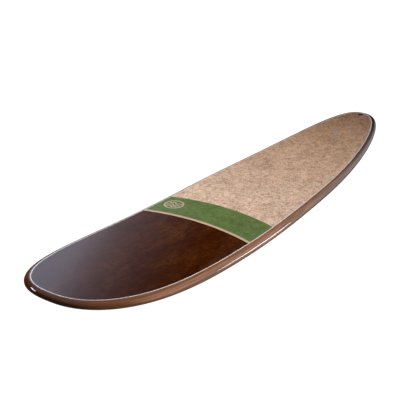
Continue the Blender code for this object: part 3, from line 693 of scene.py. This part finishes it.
def hull_wood():
    g = varnished("hull_wood")
    figure = g.noise(g.place((1.0, 9.0, 1.0)), 2.4, 4.0, 0.6, 0.7)
    grain = g.noise(g.place((2.0, 80.0, 1.0)), 3.0, 4.0, 0.6, 0.5)
    base = g.ramp(figure, ((0.30, (0.075, 0.026, 0.009)), (0.52, (0.125, 0.046, 0.016)),
                           (0.74, (0.19, 0.078, 0.030))))
    g.link(g.shade(base, grain, 0.70, 1.30), "Base Color")
    g.bump(grain, 0.05, 0.0004)
    return g.material


def plywood():
    g = Material("plywood", Roughness=0.6)
    plies = g.noise(g.place((3.0, 60.0, 120.0)), 2.0, 3.0, 0.6)
    g.tones(plies, (0.42, 0.28, 0.14), (0.66, 0.49, 0.29))
    g.bump(plies, 0.1, 0.0005)
    return g.material


def laminate():
    """Glass cloth set in resin: a fine square weave."""
    g = Material("laminate", Roughness=0.4)
    warp, weft = (g.noise(g.place(scale), 1.0) for scale in ((900.0, 60.0, 1.0), (60.0, 900.0, 1.0)))
    weave = g.maths("ADD", warp, weft)
    g.tones(g.level(weave, 0.7, 1.3), (0.52, 0.46, 0.30), (0.70, 0.65, 0.48), 0.0, 1.0)
    g.bump(weave, 0.15, 0.0003)
    return g.material


def bead_foam(name, pale, dark, bead):
    """Foam of small round beads pressed together."""
    g = Material(name, Roughness=0.85)
    beads = g.add("ShaderNodeTexVoronoi", {"Vector": g.place(), "Scale": 1 / bead}).outputs["Distance"]
    g.tones(beads, pale, dark, 0.25, 0.62)
    g.bump(g.maths("SUBTRACT", 1.0, beads), 0.4, 0.0006)
    return g.material


def moulded_plastic(name, roughness):
    g = Material(name, Roughness=roughness, Specular_IOR_Level=0.2)
    grain = g.noise(g.place(), 900.0, 3.0, 0.6)
    g.tones(grain, (0.006, 0.006, 0.006), (0.011, 0.011, 0.012), 0.35, 0.65)
    g.link(g.level(grain, 0.3, 0.7, roughness - 0.05, roughness + 0.05), "Roughness")
    g.bump(grain, 0.12, 0.0002)
    return g.material


def turned_metal(name, dark, pale, roughness, metallic=1.0):
    """Metal with the fine rings that a lathe leaves about the local Z axis."""
    g = Material(name, Roughness=roughness, Metallic=metallic)
    inputs = {"Vector": g.place(), "Scale": 600.0, "Distortion": 0.6, "Detail": 2.0}
    rings = g.add("ShaderNodeTexWave", inputs, wave_type="RINGS", rings_direction="Z").outputs["Fac"]
    smear = g.noise(g.place(), 140.0, 3.0, 0.6)
    g.tones(smear, dark, pale)
    g.link(g.level(smear, 0.3, 0.7, roughness - 0.06, roughness + 0.08), "Roughness")
    g.bump(rings, 0.08, 0.0001)
    return g.material


def rolled_metal():
    g = Material("plate_steel", Roughness=0.35, Metallic=1.0)
    lines = g.noise(g.place((200.0, 3000.0, 200.0)), 1.0, 2.0, 0.6)
    g.tones(lines, (0.40, 0.42, 0.46), (0.60, 0.63, 0.68))
    g.bump(lines, 0.1, 0.0001)
    return g.material


def rubber():
    g = Material("rubber", Roughness=0.7)
    grain = g.noise(g.place(), 1500.0, 2.0)
    g.tones(grain, (0.008, 0.008, 0.008), (0.016, 0.016, 0.016))
    g.bump(grain, 0.2, 0.0001)
    return g.material


def make_materials():
    return {
        "brown_veneer": brown_veneer(),
        "coco_mat": coco_mat(),
        "green_cloth": green_cloth(),
        "cream_inlay": cream_inlay(),
        "white_line": white_line(),
        "rail_wood": rail_wood(),
        "hull_wood": hull_wood(),
        "plywood": plywood(),
        "laminate": laminate(),
        "foam": bead_foam("foam", (0.90, 0.90, 0.89), (0.70, 0.70, 0.68), bead=0.004),
        "dense_foam": bead_foam("dense_foam", (0.76, 0.69, 0.45), (0.60, 0.53, 0.32), bead=0.0015),
        "cup_plastic": moulded_plastic("cup_plastic", roughness=0.30),
        "fin_plastic": moulded_plastic("fin_plastic", roughness=0.38),
        "box_plastic": moulded_plastic("box_plastic", roughness=0.45),
        "steel": turned_metal("steel", STEEL_DARK, STEEL_PALE, roughness=0.22),
        "satin_steel": turned_metal("satin_steel", SATIN_DARK, SATIN_PALE, roughness=0.35, metallic=0.4),
        "plate_steel": rolled_metal(),
        "brass": turned_metal("brass", BRASS_DARK, BRASS_PALE, roughness=0.30),
        "rubber": rubber(),
    }


# ---------------------------------------------------------------- deck, rails and hull
def deck_surface(name, front, back, inset, drop, thickness):
    rows = [deck_row(x, inset, drop) for x in rows_between(front, back)]
    if front == HALF:
        rows[0] = rows[0][:1]
    if back == -HALF:
        rows[-1] = rows[-1][:1]
    obj = mesh_object(name, *loft(rows))
    mirror(obj)
    thicken(obj, thickness)
    return obj


def make_deck():
    inset = PINLINE_INSET + PINLINE_WIDTH + SEAM
    half_seam = SEAM / 2
    nose = deck_surface("nose_veneer", HALF, NOSE_PANEL_END + half_seam, inset, 0.0, PANEL_THICK)
    show(nose, "board", "brown_veneer", ["nose_panel"])
    ends = (NOSE_PANEL_END - half_seam, STRIPE_BACK + half_seam)
    show(deck_surface("stripe_inlay", *ends, inset, 0.0, PANEL_THICK), "board", "cream_inlay",
         ["cream_stripe"])
    ends = (STRIPE_BACK - half_seam, GREEN_BAND_END + half_seam)
    show(deck_surface("band_cloth", *ends, inset, 0.0, PANEL_THICK), "board", "green_cloth",
         ["green_band"])

    mat = deck_surface("deck_mat", GREEN_BAND_END - half_seam, -HALF, inset, 0.0, PANEL_THICK)
    drop = PANEL_THICK + LAYER_GAP
    skin = deck_surface("inner_skin", HALF, -HALF, PINLINE_INSET + SKIN_TUCK, drop, SKIN_THICK)
    holes = [cutter(cylinder("leash_hole", LEASH_RIM + SEAM, 2 * CUT_REACH, LEASH, ROUND_STEPS)),
             cutter(cylinder("vent_hole", VENT_RIM + SEAM, 2 * CUT_REACH, VENT, ROUND_STEPS))]
    for obj in (mat, skin):
        for hole in holes:
            boolean(obj, hole)
    show(mat, "board", "coco_mat", ["fibre_deck_panel"])
    show(skin, "board", "laminate", ["deck_inner_skin"])
    drop_cutters()


def make_pinline():
    rows = []
    for x in rows_between(HALF, -HALF):
        row = []
        for share in PINLINE_COLUMNS:
            px, py = inset_point(x, PINLINE_INSET + PINLINE_WIDTH * share)
            row.append((px, py, deck_height(px, py)))
        rows.append(row)
    line = mesh_object("pinline_ring", *loft(rows))
    mirror(line)
    thicken(line, PANEL_THICK)
    show(line, "board", "white_line", ["deck_pinline"])


def rail_angles():
    top = math.acos(1 - (PINLINE_INSET - SEAM) / RAIL_TOP_REACH)
    return [top - (top + math.pi / 2) * i / RAIL_STEPS for i in range(RAIL_STEPS + 1)]


def add_grain_coordinates(obj, rows):
    """UV in metres: along the rail from the nose, and round its section from the deck."""
    along = [0.0]
    middle = len(rows[0]) // 2
    for row, following in zip(rows, rows[1:]):
        along.append(along[-1] + (Vector(following[middle]) - Vector(row[middle])).length)
    places = []
    for distance, row in zip(along, rows):
        around = 0.0
        for i, point in enumerate(row):
            if i:
                around += (Vector(point) - Vector(row[i - 1])).length
            places.append((distance, around))
    layer = obj.data.uv_layers.new(name="grain")
    for loop in obj.data.loops:
        layer.data[loop.index].uv = places[loop.vertex_index]


def make_rails():
    rows = [rail_section(x, rail_angles()) for x in rows_between(HALF, -HALF)]
    for end in (0, -1):
        rows[end] = [(x, SEAM / 2, z) for x, y, z in rows[end]]
    for side, name in ((1, "left"), (-1, "right")):
        sided = [[(x, side * y, z) for x, y, z in row] for row in rows]
        rail = mesh_object("rail_wood_" + name, *loft(sided, flip=side < 0))
        add_grain_coordinates(rail, rows)
        thicken(rail, RAIL_THICK)
        show(rail, "board", "rail_wood", ["rail_band_" + name])


def make_hull():
    rows = [bottom_row(x, RAIL_BOTTOM_REACH + SEAM) for x in rows_between(HALF, -HALF)]
    rows[0] = rows[0][:1]
    rows[-1] = rows[-1][:1]
    hull = mesh_object("hull_veneer", *loft(rows, flip=True))
    mirror(hull)
    thicken(hull, HULL_THICK)
    length, width, depth = FIN_BOX
    hole = block("box_hole", (length + 2 * SEAM, width + 2 * SEAM), -depth, depth, FIN, FIN_BOX_CORNER + SEAM)
    boolean(hull, cutter(hole))
    show(hull, "board", "hull_wood", ["bottom_skin"])
    drop_cutters()


# ---------------------------------------------------------------- emblem
def strip_on_deck(points, width):
    """Quads that follow a plan curve, lying on the deck."""
    rows = []
    for i, (x, y) in enumerate(points):
        before = Vector(points[max(i - 1, 0)])
        after = Vector(points[min(i + 1, len(points) - 1)])
        run = (after - before).normalized()
        row = []
        for side in (-0.5, 0.5):
            px = x - run.y * width * side
            py = y + run.x * width * side
            row.append((px, py, deck_height(px, py) + MARK_LIFT))
        rows.append(row)
    return loft(rows)


def make_emblem():
    """A ring with waves across it, inlaid in the green band."""
    cx, cy = MARK_CENTRE
    turns = [math.tau * i / ROUND_STEPS for i in range(ROUND_STEPS + 1)]
    ring = [(cx + MARK_RADIUS * math.cos(turn), cy + MARK_RADIUS * math.sin(turn)) for turn in turns]
    strips = [strip_on_deck(ring, MARK_LINE)]
    for level in WAVE_LEVELS:
        reach = MARK_RADIUS * math.sqrt(1 - level ** 2) - MARK_LINE
        wave = []
        for i in range(WAVE_STEPS + 1):
            along = 2 * i / WAVE_STEPS - 1
            rise = WAVE_HEIGHT * math.sin(along * math.tau) * (1 - along ** 2)
            wave.append((cx + level * MARK_RADIUS + rise, cy + along * reach))
        strips.append(strip_on_deck(wave, MARK_LINE * WAVE_LINE))
    verts, faces = [], []
    for strip_verts, strip_faces in strips:
        faces.extend(tuple(len(verts) + i for i in face) for face in strip_faces)
        verts.extend(strip_verts)
    show(mesh_object("emblem_inlay", verts, faces), "board", "cream_inlay")


# ---------------------------------------------------------------- leash plug and vent
def make_leash_plug():
    lip, edge, cove = 0.0010, 0.0006, 0.004
    floor = -LEASH_BOWL_DEPTH
    profile = [(0.0, floor)]
    profile += arc((LEASH_BOWL - cove, floor + cove), cove, -90, 0, steps=8)
    profile += arc((LEASH_BOWL + lip, -lip), lip, 180, 90, steps=5)
    profile += arc((LEASH_RIM - edge, -edge), edge, 90, 0, steps=5)
    profile += [(LEASH_RIM, -FLANGE), (LEASH_BODY, -FLANGE), (LEASH_BODY, -LEASH_DEPTH), (0.0, -LEASH_DEPTH)]
    cup = turned("leash_cup", profile, LEASH, steps=ROUND_STEPS)
    across = LEASH @ Matrix.Translation((0, 0, -LEASH_PIN_DROP)) @ Matrix.Rotation(math.pi / 2, 4, "X")
    hole = cylinder("pin_hole", LEASH_PIN + SEAM, 2 * (LEASH_PIN_HALF + SEAM), across)
    boolean(cup, cutter(hole))
    show(cup, "board", "cup_plastic", ["leash_plug_cup"])
    drop_cutters()

    half, edge = LEASH_PIN_HALF, 0.0005
    profile = [(0.0, -half), (LEASH_PIN - edge, -half), (LEASH_PIN, edge - half)]
    profile += [(LEASH_PIN, half - edge), (LEASH_PIN - edge, half), (0.0, half)]
    pin = turned("leash_pin", profile, across, steps=48)
    show(pin, "board", "steel", ["leash_plug_pin"])


def dense_line(radius, low, high, pitch):
    """Profile points close enough together to take a thread."""
    count = math.ceil(abs(high - low) / pitch * THREAD_POINTS)
    return [(radius, low + (high - low) * i / count) for i in range(count + 1)]


def cut_thread(obj, low, high, pitch, depth):
    """Sinks a helical V groove into the turned surface between two heights."""
    for vert in obj.data.vertices:
        x, y, z = vert.co
        if not low < z < high:
            continue
        phase = (z / pitch - math.atan2(y, x) / math.tau) % 1.0
        fade = min(1.0, (z - low) / pitch, (high - z) / pitch)
        radius = math.hypot(x, y)
        share = 1 - depth * fade * abs(2 * phase - 1) / radius
        vert.co = (x * share, y * share, z)


def make_vent():
    edge, dome = 0.0005, 0.0015
    seat, seat_depth = VENT_SEAT
    bore, bore_depth = VENT_BORE
    housing = [(VENT_AIR_HOLE, -VENT_DEPTH), (VENT_AIR_HOLE, -bore_depth), (bore, -bore_depth),
               (bore, -seat_depth), (seat, -seat_depth)]
    housing += arc((seat + edge, -edge), edge, 180, 90, steps=4)
    housing += arc((VENT_RIM - dome, -dome), dome, 80, 0, steps=6)
    housing += [(VENT_RIM, -FLANGE), (VENT_BODY, -FLANGE), (VENT_BODY, -VENT_DEPTH)]
    body = turned("vent_body", housing, VENT, closed=True, steps=ROUND_STEPS)
    show(body, "board", "satin_steel", ["vent_housing"])

    edge = 0.0006
    profile = [(0.0, VENT_SHANK_END), (VENT_SHANK - edge, VENT_SHANK_END)]
    profile += dense_line(VENT_SHANK, VENT_SHANK_END + edge, VENT_HEAD_BOTTOM, VENT_PITCH)
    profile += [(VENT_HEAD, VENT_HEAD_BOTTOM)]
    profile += arc((VENT_HEAD - edge, VENT_HEAD_TOP - edge), edge, 0, 90, steps=5)
    profile += [(0.0, VENT_HEAD_TOP)]
    screw = turned("vent_plug_screw", profile, VENT, steps=72)
    cut_thread(screw, VENT_SHANK_END + edge, VENT_HEAD_BOTTOM, VENT_PITCH, VENT_SHANK - VENT_THREAD_ROOT)
    width, depth = VENT_SLOT
    slot = block("vent_slot", (4 * VENT_HEAD, width), VENT_HEAD_TOP - depth, CUT_REACH, VENT)
    boolean(screw, cutter(slot))
    show(screw, "vent_screw", "satin_steel", ["vent_screw"])
    drop_cutters()


# ---------------------------------------------------------------- fin box and fin
def box_section(x):
    """One cross section of the fin box; its lower edge follows the hull."""
    length, width, depth = FIN_BOX
    beyond = max(0.0, abs(x) - length / 2 + FIN_BOX_CORNER)
    half = width / 2 - FIN_BOX_CORNER + math.sqrt(max(0.0, FIN_BOX_CORNER ** 2 - beyond ** 2))
    on_axis = FIN @ Vector((x, 0, 0))
    low = (rocker(on_axis.x) - on_axis.z) / FIN.col[2][2]
    return [(x, -half, low), (x, -half, depth), (x, half, depth), (x, half, low)]


def make_fin_box():
    end = FIN_BOX[0] / 2
    straight = end - FIN_BOX_CORNER
    turns = [math.pi / 2 * i / CORNER_STEPS for i in range(CORNER_STEPS + 1)]
    round_end = [end - FIN_BOX_CORNER * (1 - math.sin(turn)) for turn in turns]
    middle = [x * straight / FIN_BOX_STEPS for x in range(1 - FIN_BOX_STEPS, FIN_BOX_STEPS)]
    sections = [box_section(x) for x in [-x for x in round_end[::-1]] + middle + round_end]
    body = mesh_object("fin_box_body", *loft(sections, ring=True, capped=True, flip=True), FIN)
    length, width, depth = FIN_SLOT
    boolean(body, cutter(block("slot", (length, width), -CUT_REACH, depth, FIN)))
    groove_width, groove_low, groove_high = FIN_GROOVE
    boolean(body, cutter(block("groove", (length, groove_width), groove_low, groove_high, FIN)))
    back, front, entry_width, entry_high = FIN_ENTRY
    size = (front - back, entry_width)
    boolean(body, cutter(block("entry", size, -CUT_REACH, entry_high, FIN, middle=(front + back) / 2)))
    show(body, "board", "box_plastic", ["fin_box"])
    drop_cutters()


def fin_section(share):
    """One foil section of the blade; share runs from 0 at the root to 1 at the tip."""
    height = -FIN_HEIGHT * share
    front = FIN_ROOT_FRONT - FIN_SWEEP * share ** FIN_SWEEP_POWER
    narrowing, easing = FIN_TAPER
    chord = FIN_TIP_CHORD + (FIN_ROOT_CHORD - FIN_TIP_CHORD) * (1 - share ** narrowing) ** easing
    thick = FIN_THICKNESS * (FIN_TIP_THINNESS + (1 - FIN_TIP_THINNESS) * (1 - share))
    sides = []
    for i in range(FIN_SECTION_POINTS + 1):
        along = 0.5 - 0.5 * math.cos(math.pi * i / FIN_SECTION_POINTS)
        swell = FOIL_SWELL * math.sqrt(along) * (1 - along) ** FOIL_TAPER + FOIL_EDGE
        sides.append((front - chord * along, thick / 2 * min(1.0, swell)))
    left = [(x, y, height) for x, y in sides]
    right = [(x, -y, height) for x, y in sides[::-1]]
    return left + right


def make_fin():
    rows = [[(x, y, FIN_ROOT_IN_TAB) for x, y, z in fin_section(0.0)]]
    for i in range(FIN_SECTIONS):
        rows.append(fin_section(1 - (1 - i / (FIN_SECTIONS - 1)) ** FIN_SECTION_BUNCHING))
    fin = mesh_object("fin_blade", *loft(rows, ring=True, capped=True), FIN)
    tab_middle = (TONGUE_START - TAB_HALF) / 2
    tab = block("tab", (TAB_HALF + TONGUE_START, TAB_WIDTH), 0.0, TAB_TOP, FIN, middle=tab_middle)
    boolean(fin, cutter(tab), "UNION")
    tongue_length = TAB_HALF - TONGUE_START + TONGUE_OVERLAP
    tongue_middle = (TAB_HALF + TONGUE_START - TONGUE_OVERLAP) / 2
    tongue = block("tongue", (tongue_length, TONGUE_WIDTH), *TONGUE, FIN, middle=tongue_middle)
    boolean(fin, cutter(tongue), "UNION")
    pin_place = Matrix.Translation((CROSS_PIN_X, 0, CROSS_PIN_HEIGHT))
    at_pin = FIN @ pin_place @ Matrix.Rotation(math.pi / 2, 4, "X")
    boolean(fin, cutter(cylinder("pin_hole", CROSS_PIN_HOLE, 2 * TAB_WIDTH, at_pin)))
    boolean(fin, cutter(cylinder("screw_hole", SCREW_HOLE, 2 * TAB_TOP, FIN_SCREW)))
    show(fin, "fin", "fin_plastic", ["centre_fin"], sharp_angle=50.0)
    drop_cutters()


def make_fin_screw():
    edge = 0.0004
    profile = [(0.0, FIN_SCREW_TIP), (FIN_SCREW_SHANK - edge, FIN_SCREW_TIP)]
    profile += dense_line(FIN_SCREW_SHANK, FIN_SCREW_TIP - edge, FIN_SCREW_HEAD_HIGH, FIN_SCREW_PITCH)
    profile += [(FIN_SCREW_HEAD, FIN_SCREW_HEAD_HIGH)]
    profile += arc((FIN_SCREW_HEAD - edge, FIN_SCREW_HEAD_LOW + edge), edge, 0, -90, steps=4)
    profile += [(0.0, FIN_SCREW_HEAD_LOW)]
    screw = turned("fin_clamp_screw", profile, FIN_SCREW, steps=56)
    thread_end = FIN_SCREW_TIP - edge
    cut_thread(screw, FIN_SCREW_HEAD_HIGH, thread_end, FIN_SCREW_PITCH, FIN_SCREW_SHANK - FIN_SCREW_ROOT)
    width, depth = FIN_SCREW_SLOT
    slot = block("screw_slot", (4 * FIN_SCREW_HEAD, width), -CUT_REACH, FIN_SCREW_HEAD_LOW + depth, FIN_SCREW)
    boolean(screw, cutter(slot))
    show(screw, "fin_screw", "steel", ["fin_screw"])
    drop_cutters()


# ---------------------------------------------------------------- finishes of the CAD pieces that stay
def dress_cad_nodes():
    finishes = {
        "foam_core_left": "foam", "foam_core_right": "foam", "stringer": "plywood",
        "leash_plug_block": "dense_foam", "vent_block": "dense_foam", "fin_box_block": "dense_foam",
        "vent_seal": "rubber", "fin_cross_pin": "brass", "fin_plate": "plate_steel",
    }
    for name, finish in finishes.items():
        node = frame["nodes"][name]
        node.data.materials.clear()
        node.data.materials.append(MATERIAL[finish])


# ---------------------------------------------------------------- studio
def point_at(obj, place, aim):
    obj.location = place
    obj.rotation_euler = (Vector(aim) - Vector(place)).to_track_quat("-Z", "Y").to_euler()


def area_light(name, size, place, aim, watts, mirrored=True, diffuse=True):
    light = bpy.data.lights.new(name, "AREA")
    light.shape = "ELLIPSE"
    light.size, light.size_y = size
    light.energy = watts
    obj = new_object(name, light)
    point_at(obj, place, aim)
    obj.visible_camera = False
    obj.visible_glossy = mirrored
    obj.visible_diffuse = diffuse


def emissive(name, colour, grey=0.0):
    """A material of the stage: matt grey that glows in a colour."""
    return Material(name, Base_Color=(grey, grey, grey, 1), Roughness=1.0, Specular_IOR_Level=0.0,
                    Emission_Color=(*colour, 1), Emission_Strength=1.0)


def make_floor():
    """A pale floor that glows white, neither mirrored nor lighting the board."""
    reach = FLOOR_REACH
    corners = [(-reach, -reach, FLOOR), (reach, -reach, FLOOR), (reach, reach, FLOOR), (-reach, reach, FLOOR)]
    floor = mesh_object("floor", corners, [(0, 1, 2, 3)])
    floor.data.materials.append(emissive("floor", WHITE, FLOOR_TONE).material)
    floor.visible_glossy = False
    floor.visible_diffuse = False


def make_backdrop():
    """A white wall all round for low cameras, neither mirrored nor lighting anything."""
    shape = bmesh.new()
    bmesh.ops.create_uvsphere(shape, u_segments=32, v_segments=16, radius=BACKDROP_RADIUS)
    backdrop = bmesh_object("backdrop", shape, Matrix())
    backdrop.data.materials.append(emissive("backdrop", WHITE).material)
    backdrop.visible_glossy = False
    backdrop.visible_diffuse = False
    backdrop.visible_transmission = False
    backdrop.visible_shadow = False


def make_side_card():
    """A pale blue card to the board's right, brightest near its front end, mirrored in the varnish."""
    (back, front), y, (low, high) = SIDE_CARD
    corners = [(back, y, low), (back, y, high), (front, y, high), (front, y, low)]
    card = mesh_object("side_card", corners, [(0, 1, 2, 3)])
    g = emissive("side_card", SIDE_CARD_COLOUR)
    fade = g.add("ShaderNodeFloatCurve", {"Value": g.level(g.along(), back, front)})
    curve = fade.mapping.curves[0]
    curve.points[0].location = (0.0, 0.0)
    curve.points[1].location = (1.0, 0.0)
    top = max(strength for x, strength in SIDE_CARD_FADE)
    for x, strength in SIDE_CARD_FADE:
        curve.points.new((x - back) / (front - back), strength / top)
    fade.mapping.update()
    g.link(g.maths("MULTIPLY", fade.outputs[0], top), "Emission Strength")
    card.data.materials.append(g.material)
    card.visible_camera = False


def make_sky():
    """Dark round the horizon, brighter overhead, with a little light from below and one large soft glow."""
    world = bpy.data.worlds.new("studio")
    bpy.context.scene.world = world
    world.use_nodes = True
    g = Graph(world.node_tree, "Background")
    direction = g.add("ShaderNodeTexCoord").outputs["Generated"]
    height = g.add("ShaderNodeSeparateXYZ", {"Vector": direction}).outputs["Z"]
    sky = g.ramp(g.level(height, -1.0, 1.0), [((z + 1) / 2, colour) for z, colour in SKY])
    azimuth, elevation = (math.radians(v) for v in SKY_GLOW)
    level = math.cos(elevation)
    middle = (level * math.cos(azimuth), level * math.sin(azimuth), math.sin(elevation))
    product = g.add("ShaderNodeVectorMath", {0: direction, 1: middle}, operation="DOT_PRODUCT")
    outer, inner = (math.cos(math.radians(v)) for v in SKY_GLOW_EDGE)
    nearness = product.outputs["Value"]
    inputs = {"Value": nearness, "From Min": outer, "From Max": inner, "To Max": SKY_GLOW_STRENGTH}
    glow = g.add("ShaderNodeMapRange", inputs, interpolation_type="SMOOTHSTEP").outputs[0]
    g.link(g.add("ShaderNodeVectorMath", {0: sky, 1: glow}, operation="ADD").outputs[0], "Color")
    g.end.inputs["Strength"].default_value = 1.0


def make_lights():
    area_light("main", size=(2.2, 1.2), place=(0.35, -0.6, 1.7), aim=(0.25, 0.0, 0.1), watts=21.0,
               mirrored=False)
    area_light("left_fill", size=(2.0, 0.8), place=(0.5, 3.2, 0.35), aim=(0.4, 0.4, 0.05), watts=56.0,
               mirrored=False)
    area_light("right_box", size=(3.0, 1.2), place=(3.0, -7.0, 4.0), aim=(1.5, 0.0, 0.2), watts=150.0,
               diffuse=False)
    area_light("rail_strip", size=(0.64, 0.20), place=(-0.50, 1.15, -0.03), aim=(0.45, 0.38, 0.05),
               watts=4.4, diffuse=False)


def make_camera():
    data = bpy.data.cameras.new("camera")
    data.sensor_width = CAMERA_SENSOR
    data.lens = CAMERA_LENS
    camera = new_object("camera", data)
    point_at(camera, CAMERA_PLACE, CAMERA_AIM)
    bpy.context.scene.camera = camera


CUTTERS = []
LEASH = local_frame(mount("leash_plug_rim"))
VENT = local_frame(joint("vent_screw_turn"), on_centreline=False)
FIN = local_frame(mount("fin_box_rim"), flip=-1)
FIN_SCREW = local_frame(joint("fin_screw_turn"), flip=-1)
MATERIAL = make_materials()

make_camera()
make_deck()
make_pinline()
make_rails()
make_hull()
make_emblem()
make_leash_plug()
make_vent()
make_fin_box()
make_fin()
make_fin_screw()
dress_cad_nodes()

make_floor()
make_backdrop()
make_side_card()
make_sky()
make_lights()
bpy.context.scene.view_settings.view_transform = "Standard"
